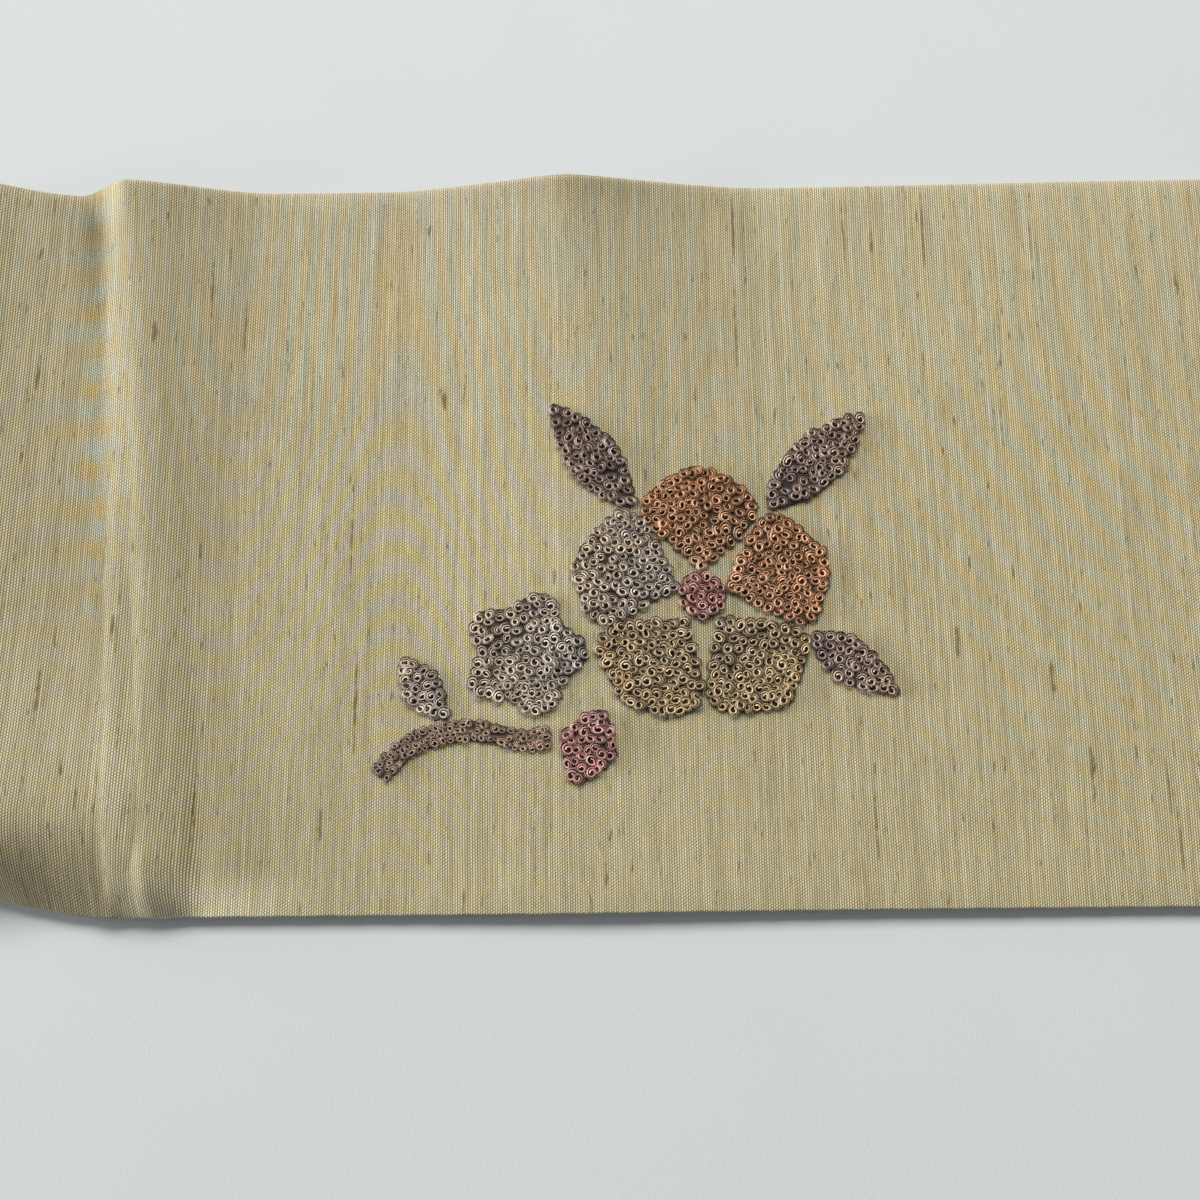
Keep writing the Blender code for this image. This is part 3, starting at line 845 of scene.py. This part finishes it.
def outline_of(patch):
    """The patch's outline as points, in metres, along X and Y."""
    shares = [index / OUTLINE_STEPS for index in range(OUTLINE_STEPS)]
    if patch.round:
        fine = 4 * OUTLINE_STEPS
        places = [patch.place(index / fine, 1.0) for index in range(fine)]
    else:
        places = [patch.place(share, 0.0) for share in shares]
        places += [patch.place(1.0, share) for share in shares[::3]]
        places += [patch.place(1 - share, 1.0) for share in shares]
        places += [patch.place(0.0, 1 - share) for share in shares[::3]]
    return np.array([(SPRAY_X + along / 1000, -down / 1000) for along, down in places])


def depth_inside(points, outline):
    """How deep each point lies inside the outline, in metres, negative outside it."""
    start, end = outline, np.roll(outline, -1, axis=0)
    side = end - start
    to_point = points[:, None] - start[None]
    along = (to_point * side).sum(2) / np.maximum((side**2).sum(1), 1e-18)
    nearest = start + np.clip(along, 0, 1)[..., None] * side
    distance = np.linalg.norm(points[:, None] - nearest, axis=2).min(1)
    crosses = (start[:, 1] > points[:, None, 1]) != (end[:, 1] > points[:, None, 1])
    rise = np.where(np.abs(side[:, 1]) < 1e-12, 1e-12, side[:, 1])
    at_x = start[:, 0] + (points[:, None, 1] - start[:, 1]) / rise * side[:, 0]
    inside = (crosses & (points[:, None, 0] < at_x)).sum(1) % 2 == 1
    return np.where(inside, distance, -distance)


def knot_places(outline, pitch, rng):
    """Knot centres spread evenly inside an outline: each in the middle of its share of the area."""
    low, high = outline.min(0), outline.max(0)
    grain = pitch / SAMPLES_PER_PITCH
    columns, rows = np.arange(low[0], high[0], grain), np.arange(low[1], high[1], grain)
    samples = np.stack(np.meshgrid(columns, rows), axis=-1).reshape(-1, 2)
    samples = samples[depth_inside(samples, outline) > KNOT_MARGIN]
    count = round(len(samples) * grain**2 / (math.sin(math.pi / 3) * pitch**2))
    centres = samples[rng.choice(len(samples), count, replace=False)]
    for _round in range(SPREADING_ROUNDS):
        nearest = np.linalg.norm(samples[:, None] - centres[None], axis=2).argmin(1)
        for index in range(count):
            if (nearest == index).any():
                centres[index] = samples[nearest == index].mean(0)
    return centres + rng.normal(0, KNOT_STRAY * pitch, centres.shape)


def coil_template(knots):
    """One ring knot: thread wound up from a wide turn to a narrow one that leans to the front."""
    bm = bmesh.new()
    side_of = bm.verts.layers.int.new("side")
    step_of = bm.verts.layers.int.new("step")
    made = bmesh.ops.create_circle(
        bm, cap_ends=True, segments=COIL_SIDES, radius=knots.thread_radius
    )["verts"]
    for side, vert in enumerate(made):
        vert[side_of] = side
    bmesh.ops.rotate(bm, verts=made, matrix=Matrix.Rotation(math.pi / 2, 3, "X"))
    end_cap = [*bm.verts, *bm.edges, *bm.faces]
    for step in range(1, COIL_STEPS + 1):
        end_cap = bmesh.ops.extrude_face_region(bm, geom=end_cap)["geom"]
        for vert in verts_of(end_cap):
            vert[step_of] = step
    for vert in bm.verts:
        share = vert[step_of] / COIL_STEPS
        vert.co.x += between(knots.outer_radius, knots.inner_radius, share)
        vert.co = Matrix.Rotation(2 * math.pi * COIL_TURNS * share, 3, "Z") @ vert.co
        vert.co += Vector((0, -COIL_LEAN, COIL_RISE)) * share
    bmesh.ops.recalc_face_normals(bm, faces=bm.faces)
    thread_map = bm.loops.layers.uv.new(THREAD_MAP)
    for face in bm.faces:
        sides = [vert[side_of] for vert in face.verts]
        wraps = max(sides) - min(sides) > 1
        for loop in face.loops:
            side = loop.vert[side_of]
            side += COIL_SIDES if wraps and side == 0 else 0
            loop[thread_map].uv = (loop.vert[step_of] / COIL_STEPS, side / COIL_SIDES)
    mesh = bpy.data.meshes.new("coil_template")
    bm.to_mesh(mesh)
    bm.free()
    return mesh


def make_knots(patch, knots, material, rng):
    """Covers a patch with ring knots, each with its own turn, lean, size and tone."""
    outline = outline_of(patch)
    size = TWIG_KNOT_SIZE if patch.name == "twig" else 1.0
    centres = knot_places(outline, knots.pitch * size, rng)
    base = outline[0]
    reach = np.linalg.norm(outline - base, axis=1).max()
    template = coil_template(knots)
    bm = bmesh.new()
    tone_layer = bm.verts.layers.float.new("tone")
    shade_layer = bm.verts.layers.float.new("shade")
    for x, y in centres:
        known = len(bm.verts)
        bm.from_mesh(template)
        bm.verts.ensure_lookup_table()
        fresh = bm.verts[known:]
        turn = Matrix.Rotation(rng.normal(0, KNOT_TURN), 3, "Z")
        lean_axis = Matrix.Rotation(rng.random() * 2 * math.pi, 3, "Z") @ Vector((1, 0, 0))
        tilt = knots.tilt * rng.random() ** 1.5
        scale = size * (SMALLEST_KNOT + KNOT_SIZE_SPREAD * rng.random())
        stretch = LEAST_STRETCH + STRETCH_SPREAD * rng.random()
        squeeze = Matrix.Diagonal((scale * stretch, scale / stretch, scale))
        seat = THICKNESS + raise_of(x, y) + GROUND_LIFT + GROUND_HEIGHT * KNOT_SEAT
        seat += KNOT_UNEVENNESS * rng.random()
        move = (Matrix.Rotation(tilt, 3, lean_axis) @ turn @ squeeze).to_4x4()
        move.translation = (x, y, seat)
        bmesh.ops.transform(bm, matrix=move, verts=fresh)
        tone = rng.random()
        shade = math.hypot(x - base[0], y - base[1]) / reach
        for vert in fresh:
            vert[tone_layer] = tone
            vert[shade_layer] = shade
    bpy.data.meshes.remove(template)
    piece = add_piece(f"{patch.name}_knots", bm, material)
    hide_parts(patch.name)
    return piece


def make_painted_shade_ground(patch, material):
    """The thin layer of thread that a patch's knots stand on, set in from its outline and dark with
    painted shade.
    """
    bm = bmesh.new()
    columns = ROUND_COLUMNS if patch.round else GROUND_COLUMNS
    bmesh.ops.create_grid(bm, x_segments=columns, y_segments=GROUND_ROWS, size=0.5)
    for vert in bm.verts:
        along, down = patch.place(vert.co.x + 0.5, vert.co.y + 0.5)
        vert.co = (SPRAY_X + along / 1000, -down / 1000, 0)
    bmesh.ops.remove_doubles(bm, verts=bm.verts, dist=0.00002)
    rim = bmesh.ops.inset_region(bm, faces=bm.faces, thickness=GROUND_INSET, use_even_offset=True)
    bmesh.ops.delete(bm, geom=rim["faces"], context="FACES")
    for vert in bm.verts:
        vert.co.z = THICKNESS + raise_of(vert.co.x, vert.co.y) + GROUND_LIFT
    top = bmesh.ops.extrude_face_region(bm, geom=list(bm.faces))["geom"]
    bmesh.ops.translate(bm, verts=verts_of(top), vec=(0, 0, GROUND_HEIGHT))
    bmesh.ops.recalc_face_normals(bm, faces=bm.faces)
    return add_piece(f"{patch.name}_ground", bm, material)


# ---------------------------------------------------------------- the largest slubs

# Raised slubs of the front: place (along X from the spray's centre, down from the folded edge),
# length across the sash and width, in millimetres.
Slub = namedtuple("Slub", "along down length width")
SLUBS = (
    Slub(-93.9, 34.2, 5.1, 1.00),
    Slub(71.5, 10.6, 20.0, 0.50),
    Slub(29.9, 11.0, 18.4, 0.60),
    Slub(29.7, 33.3, 23.0, 0.40),
    Slub(-51.5, 80.1, 23.6, 0.40),
    Slub(-49.7, 113.5, 26.4, 0.45),
    Slub(72.8, 101.5, 9.1, 0.70),
    Slub(91.5, 109.9, 9.0, 0.75),
    Slub(113.0, 132.3, 17.7, 0.45),
    Slub(114.3, 143.0, 15.4, 0.50),
    Slub(54.3, 138.5, 13.7, 0.50),
    Slub(98.0, 128.1, 11.9, 0.55),
    Slub(-81.0, 133.2, 10.8, 0.55),
    Slub(-118.4, 43.0, 11.3, 0.55),
    Slub(-32.8, 48.5, 5.9, 0.90),
    Slub(0.6, 148.0, 6.5, 0.60),
    Slub(-56.1, 137.4, 11.7, 0.50),
    Slub(60.0, 13.3, 5.2, 0.75),
    Slub(54.0, 10.1, 14.3, 0.40),
    Slub(125.7, 23.4, 7.0, 0.60),
    Slub(-98.2, 97.6, 6.3, 0.60),
    Slub(-111.4, 111.9, 12.2, 0.50),
    Slub(-82.9, 25.1, 21.0, 0.40),
    Slub(-75.8, 32.1, 13.8, 0.40),
    Slub(94.8, 15.3, 16.6, 0.40),
)
SLUB_THICKNESS = 0.00022
SLUB_PARTS = 8
SLUB_SWELL, SLUB_OVERLENGTH = 1.3, 1.15  # room at its sides and ends for the fraying to fade out
SLUB_BUMPS = 5  # how many times its width changes
FIBRE_MAP = "fibre"  # -1 to 1 across a slub, and from end to end


def make_slubs(material):
    """The largest slubs, as flat grains of fibre that bend and taper and lie on the silk."""
    bm = bmesh.new()
    fibre_map = bm.loops.layers.uv.new(FIBRE_MAP)
    for slub in SLUBS:
        made = bmesh.ops.create_uvsphere(
            bm, u_segments=SLUB_PARTS, v_segments=SLUB_PARTS, radius=0.5
        )["verts"]
        bend = noise.noise(Vector((slub.along, slub.down, 0.5)))
        for vert in made:
            across, up, run = vert.co
            for face in vert.link_faces:
                for loop in face.loops:
                    if loop.vert == vert:
                        loop[fibre_map].uv = (across * 2, run * 2)
            taper = 0.5 + noise.noise(Vector((slub.along, run * SLUB_BUMPS, 7.7)))
            aside = slub.width * (across * (SLUB_SWELL + taper) + bend * run)
            x = SPRAY_X + (slub.along + aside) / 1000
            y = -(slub.down + slub.length * run * SLUB_OVERLENGTH) / 1000
            vert.co = (x, y, THICKNESS + raise_of(x, y) + SLUB_THICKNESS * up)
    bmesh.ops.recalc_face_normals(bm, faces=bm.faces)
    return add_piece("raised_slubs", bm, material)


# ---------------------------------------------------------------- the sewing

SEWING_RADIUS = 0.00010
SEWING_SIDES, SEWING_STEPS = 5, 4
SEWING_BOW = 0.00002  # how far a stitch's middle stands out from its ends
SEWING_INSET = 0.00030  # its ends lie this far in from the seamed edge
SEWING_SLANT = 0.0006
SEWING_DEPTH = 0.55 * WALL  # how deep in its layer each end lies


def stitch_template():
    """One slip stitch, from the lower layer up to the upper one, bowed outwards along +Y."""
    bm = bmesh.new()
    bmesh.ops.create_circle(bm, cap_ends=True, segments=SEWING_SIDES, radius=SEWING_RADIUS)
    end_cap = [*bm.verts, *bm.edges, *bm.faces]
    for step in range(1, SEWING_STEPS + 1):
        end_cap = bmesh.ops.extrude_face_region(bm, geom=end_cap)["geom"]
        bow = math.cos(math.pi * (step - 0.5) / SEWING_STEPS) * SEWING_BOW
        move = (SEWING_SLANT / SEWING_STEPS, bow, (THICKNESS - 2 * SEWING_DEPTH) / SEWING_STEPS)
        bmesh.ops.translate(bm, verts=verts_of(end_cap), vec=move)
    bmesh.ops.recalc_face_normals(bm, faces=bm.faces)
    mesh = bpy.data.meshes.new("stitch_template")
    bm.to_mesh(mesh)
    bm.free()
    return mesh


def make_stitches(seams, material):
    """Small slip stitches that bridge the two layers.

    A seam is its start, its end, its edge's Y before it strays, and that edge's share across the sash.
    """
    template = stitch_template()
    bm = bmesh.new()
    for start, end, edge_y, share in seams:
        outward = -1 if edge_y < 0 else 1
        for index in range(1, int((end - start) / STITCH_PITCH)):
            x = start + index * STITCH_PITCH
            y = edge_y - outward * SEWING_INSET
            known = len(bm.verts)
            bm.from_mesh(template)
            bm.verts.ensure_lookup_table()
            place = Vector((x, y + edge_shift(x, share), SEWING_DEPTH + raise_of(x, y)))
            turn = Matrix.Rotation(0.0 if outward > 0 else math.pi, 4, "Z")
            bmesh.ops.transform(bm, matrix=Matrix.Translation(place) @ turn, verts=bm.verts[known:])
    bpy.data.meshes.remove(template)
    return add_piece("slip_stitches", bm, material)


# ---------------------------------------------------------------- the stage

FLOOR_REACH = 6.0

# A soft lamp's size, its place and the point that it faces, in metres.
Lamp = namedtuple("Lamp", "name width depth place aim colour")
KEY_LAMP = Lamp("key_light", 4.5, 1.4, (-0.2, 2.5, 2.4), (0.0, -0.08, 0.0), (1.0, 0.985, 0.96))
SIDE_LAMP = Lamp("side_light", 4.0, 1.2, (-6.0, 0.40, 1.05), (0.1, -0.08, 0.0), (1.0, 1.0, 1.0))
SKY_COLOUR = (0.90, 0.95, 1.0, 1.0)
SENSOR_WIDTH = 36.0  # in mm
NEAREST_SEEN = 0.01


def lay_floor(colour):
    bm = bmesh.new()
    bmesh.ops.create_grid(bm, x_segments=1, y_segments=1, size=FLOOR_REACH)
    mesh = bpy.data.meshes.new("floor")
    bm.to_mesh(mesh)
    bm.free()
    mesh.materials.append(floor_material(colour))
    floor = bpy.data.objects.new("floor", mesh)
    bpy.context.scene.collection.objects.link(floor)


def hang_lamp(lamp, power):
    light = bpy.data.lights.new(lamp.name, "AREA")
    light.shape = "RECTANGLE"
    light.size, light.size_y = lamp.width, lamp.depth
    light.energy = power
    light.color = lamp.colour
    holder = bpy.data.objects.new(lamp.name, light)
    holder.location = lamp.place
    facing = Vector(lamp.aim) - Vector(lamp.place)
    holder.rotation_euler = facing.to_track_quat("-Z", "Y").to_euler()
    holder.visible_camera = False
    bpy.context.scene.collection.objects.link(holder)


def light_sky(strength):
    world = bpy.data.worlds.new("soft_sky")
    world.use_nodes = True
    sky = world.node_tree.nodes["Background"]
    sky.inputs["Color"].default_value = SKY_COLOUR
    sky.inputs["Strength"].default_value = strength
    bpy.context.scene.world = world


def place_camera(stage):
    """The camera looks down on the spray, tilted a little towards the folded edge."""
    camera = bpy.data.cameras.new("camera")
    camera.sensor_width = SENSOR_WIDTH
    camera.lens = stage.camera_lens
    camera.clip_start = NEAREST_SEEN
    holder = bpy.data.objects.new("camera", camera)
    turn = Matrix.Rotation(stage.camera_tilt, 4, "X") @ Matrix.Rotation(stage.camera_roll, 4, "Z")
    place = Vector((SPRAY_X, -stage.camera_back, stage.camera_height))
    holder.matrix_world = Matrix.Translation(place) @ turn
    bpy.context.scene.collection.objects.link(holder)
    bpy.context.scene.camera = holder


# ---------------------------------------------------------------- operators


def settings(context):
    scene = context.scene
    return scene.obi_cloth, scene.obi_knots, scene.obi_colours, scene.obi_stage


class OBI_OT_lay_sleeve(bpy.types.Operator):
    """Lays the part of the sash that is folded to half its width"""

    bl_idname = "obi.lay_sleeve"
    bl_label = "Lay Folded Part"

    def execute(self, context):
        cloth, _knots, colours, _stage = settings(context)
        silk = silk_material("silk_face_finish", colours, cloth)
        stretches = (
            ("shoulder", SHOULDER_X, NARROW_X, cloth.plain_step),
            ("waist", NARROW_X, WAIST_END_X, cloth.plain_step),
            ("front", WAIST_END_X, FRONT_END_X, cloth.fine_step),
            ("te_1", FRONT_END_X, TE_CREASE_1_X, cloth.plain_step),
            ("te_2", TE_CREASE_1_X, TE_CREASE_2_X, cloth.plain_step),
            ("te_3", TE_CREASE_2_X, TE_END_X, cloth.plain_step),
        )
        for name, start, end, step in stretches:
            across_step = step * SLEEVE_ACROSS
            piece = make_stretch(name + "_cloth", start, end, sleeve_section, step, across_step, silk)
            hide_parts(name)
            if name == "shoulder":
                # It narrows from two full widths of cloth to two half widths.
                area = 3 * HALF_WIDTH * (end - start)
                end - start
            elif name != "front":
                end - start
        return {"FINISHED"}


class OBI_OT_lay_drum(bpy.types.Operator):
    """Lays the wide part of the sash, a face and a lining"""

    bl_idname = "obi.lay_drum"
    bl_label = "Lay Wide Part"

    def execute(self, context):
        cloth, _knots, colours, _stage = settings(context)
        silk = bpy.data.materials["silk_face_finish"]
        lining = silk_material("silk_lining_finish", colours, cloth, tone=0.96)
        step = cloth.plain_step
        stretches = (
            ("tare_face", TARE_END_X, TARE_CREASE_X, face_section, silk),
            ("tare_lining", TARE_END_X, TARE_CREASE_X, lining_section, lining),
            ("drum_face", TARE_CREASE_X, SHOULDER_X, face_section, silk),
            ("drum_lining", TARE_CREASE_X, SHOULDER_X, lining_section, lining),
        )
        for name, start, end, section, material in stretches:
            piece = make_stretch(name + "_cloth", start, end, section, step, step, material)
            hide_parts(name)
            end - start
        return {"FINISHED"}


class OBI_OT_raise_slubs(bpy.types.Operator):
    """Lays the thickest slubs of the front's silk"""

    bl_idname = "obi.raise_slubs"
    bl_label = "Raise Slubs"

    def execute(self, context):
        cloth, _knots, colours, _stage = settings(context)
        piece = make_slubs(slub_material(colours, cloth))
        return {"FINISHED"}


class OBI_OT_sew_seams(bpy.types.Operator):
    """Sews the layers together along their edges"""

    bl_idname = "obi.sew_seams"
    bl_label = "Sew Seams"

    def execute(self, context):
        seams = (
            (TARE_END_X, TE_END_X, -HALF_WIDTH, 1),
            (TARE_END_X, SHOULDER_X, HALF_WIDTH, 0),
        )
        thread = thread_material("sewing_thread_finish", tuple(context.scene.obi_colours.silk_gold))
        make_stitches(seams, thread)
        return {"FINISHED"}


class OBI_OT_work_spray(bpy.types.Operator):
    """Works the spray in ring knots on the front"""

    bl_idname = "obi.work_spray"
    bl_label = "Work Embroidery"

    def execute(self, context):
        _cloth, knots, colours, _stage = settings(context)
        rng = np.random.default_rng(knots.seed)
        threads, painted_shade_grounds, worked = {}, {}, [bpy.data.objects["raised_slubs"]]
        for patch in spray_patches():
            if patch.colour not in threads:
                colour = tuple(getattr(colours, patch.colour))
                threads[patch.colour] = thread_material(f"thread_{patch.colour}_finish", colour)
                painted_shade_grounds[patch.colour] = painted_shade_ground_material(f"ground_{patch.colour}_finish", colour)
            pieces = (
                make_knots(patch, knots, threads[patch.colour], rng),
                make_painted_shade_ground(patch, painted_shade_grounds[patch.colour]),
            )
            worked.extend(pieces)
        return {"FINISHED"}


class OBI_OT_set_stage(bpy.types.Operator):
    """Sets the pale floor, the soft light and the camera"""

    bl_idname = "obi.set_stage"
    bl_label = "Set Stage"

    def execute(self, context):
        stage = context.scene.obi_stage
        lay_floor(tuple(stage.floor))
        hang_lamp(KEY_LAMP, stage.key_power)
        hang_lamp(SIDE_LAMP, stage.side_power)
        light_sky(stage.sky_strength)
        place_camera(stage)
        context.scene.view_settings.view_transform = "Standard"
        return {"FINISHED"}


class OBI_PT_panel(bpy.types.Panel):
    """The steps that build the sash, in order"""

    bl_idname = "OBI_PT_panel"
    bl_label = "Obi Sash"
    bl_space_type = "VIEW_3D"
    bl_region_type = "UI"
    bl_category = "Obi"

    def draw(self, context):
        for step in STEPS:
            self.layout.operator(step.bl_idname)
        for group in settings(context):
            for name in group.__annotations__:
                self.layout.prop(group, name)


STEPS = (
    OBI_OT_lay_sleeve,
    OBI_OT_lay_drum,
    OBI_OT_sew_seams,
    OBI_OT_raise_slubs,
    OBI_OT_work_spray,
    OBI_OT_set_stage,
)
GROUPS = {
    "obi_cloth": ObiClothSettings,
    "obi_knots": ObiKnotSettings,
    "obi_colours": ObiColours,
    "obi_stage": ObiStageSettings,
}


def register():
    for group in GROUPS.values():
        bpy.utils.register_class(group)
    for step in (*STEPS, OBI_PT_panel):
        bpy.utils.register_class(step)
    for name, group in GROUPS.items():
        setattr(bpy.types.Scene, name, bpy.props.PointerProperty(type=group))


def unregister():
    for name in GROUPS:
        delattr(bpy.types.Scene, name)
    for step in (OBI_PT_panel, *reversed(STEPS)):
        bpy.utils.unregister_class(step)
    for group in GROUPS.values():
        bpy.utils.unregister_class(group)


def main():
    register()
    bpy.ops.obi.lay_sleeve()
    bpy.ops.obi.lay_drum()
    bpy.ops.obi.sew_seams()
    bpy.ops.obi.raise_slubs()
    bpy.ops.obi.work_spray()
    bpy.ops.obi.set_stage()


if __name__ == "__main__":
    main()
